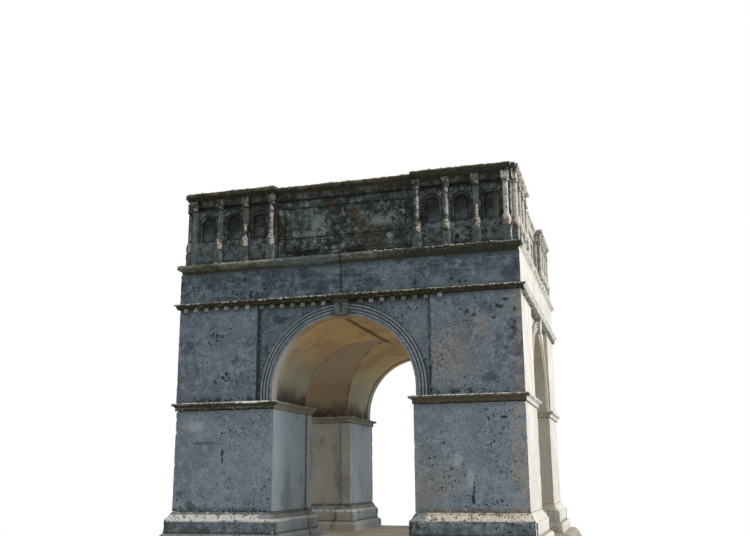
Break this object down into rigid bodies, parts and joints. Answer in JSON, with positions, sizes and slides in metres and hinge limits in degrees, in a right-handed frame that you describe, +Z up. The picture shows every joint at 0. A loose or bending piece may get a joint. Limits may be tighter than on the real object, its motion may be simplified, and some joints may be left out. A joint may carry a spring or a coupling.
{
  "type": "stone scale model of a four-way triumphal arch on a rough stone block",
  "caption": "Weathered stone model of a four-way triumphal arch: corner piers, groin vault, dentil cornice and an attic with colonnettes, on a rough-hewn block.",
  "frame": {"origin": "middle of the underside of the rough stone block, on the level it stands on", "axes": "+Z up; the front of the arch looks towards -Y; +X is to the right of the front"},
  "size_m": [1.7002, 1.8302, 1.7834],
  "materials": {
    "pier_stone": "dressed grey limestone, pitted and spotted with black lichen",
    "moulding_stone": "grey limestone with olive-brown growth under the ledges and pale chipped arrises",
    "attic_stone": "limestone darkened by green-black lichen",
    "vault_plaster": "ochre-stained lime plaster on stone",
    "rough_stone": "pale rough-hewn stone"
  },
  "bodies": {
    "root": {"arch_back": "pier_stone", "arch_front": "pier_stone", "arch_left": "pier_stone", "arch_right": "pier_stone", "attic_back_left": "attic_stone", "attic_back_right": "attic_stone", "attic_cornice_back_left": "moulding_stone", "attic_cornice_back_right": "moulding_stone", "attic_cornice_front_left": "moulding_stone", "attic_cornice_front_right": "moulding_stone", "attic_front_left": "attic_stone", "attic_front_right": "attic_stone", "colonnettes_back_left": "attic_stone", "colonnettes_back_right": "attic_stone", "colonnettes_front_left": "attic_stone", "colonnettes_front_right": "attic_stone", "dentil_cornice_left": "moulding_stone", "dentil_cornice_right": "moulding_stone", "frieze_left": "pier_stone", "frieze_right": "pier_stone", "groin_vault": "vault_plaster", "impost_back_left": "moulding_stone", "impost_back_right": "moulding_stone", "impost_front_left": "moulding_stone", "impost_front_right": "moulding_stone", "keystone_back": "pier_stone", "keystone_front": "pier_stone", "keystone_left": "pier_stone", "keystone_right": "pier_stone", "main_cornice_left": "moulding_stone", "main_cornice_right": "moulding_stone", "pier_back_left": "pier_stone", "pier_back_right": "pier_stone", "pier_front_left": "pier_stone", "pier_front_right": "pier_stone", "plinth_back_left": "pier_stone", "plinth_back_right": "pier_stone", "plinth_front_left": "pier_stone", "plinth_front_right": "pier_stone", "stand_block": "rough_stone", "upper_pier_back_left": "pier_stone", "upper_pier_back_right": "pier_stone", "upper_pier_front_left": "pier_stone", "upper_pier_front_right": "pier_stone"}
  },
  "joints": []
}
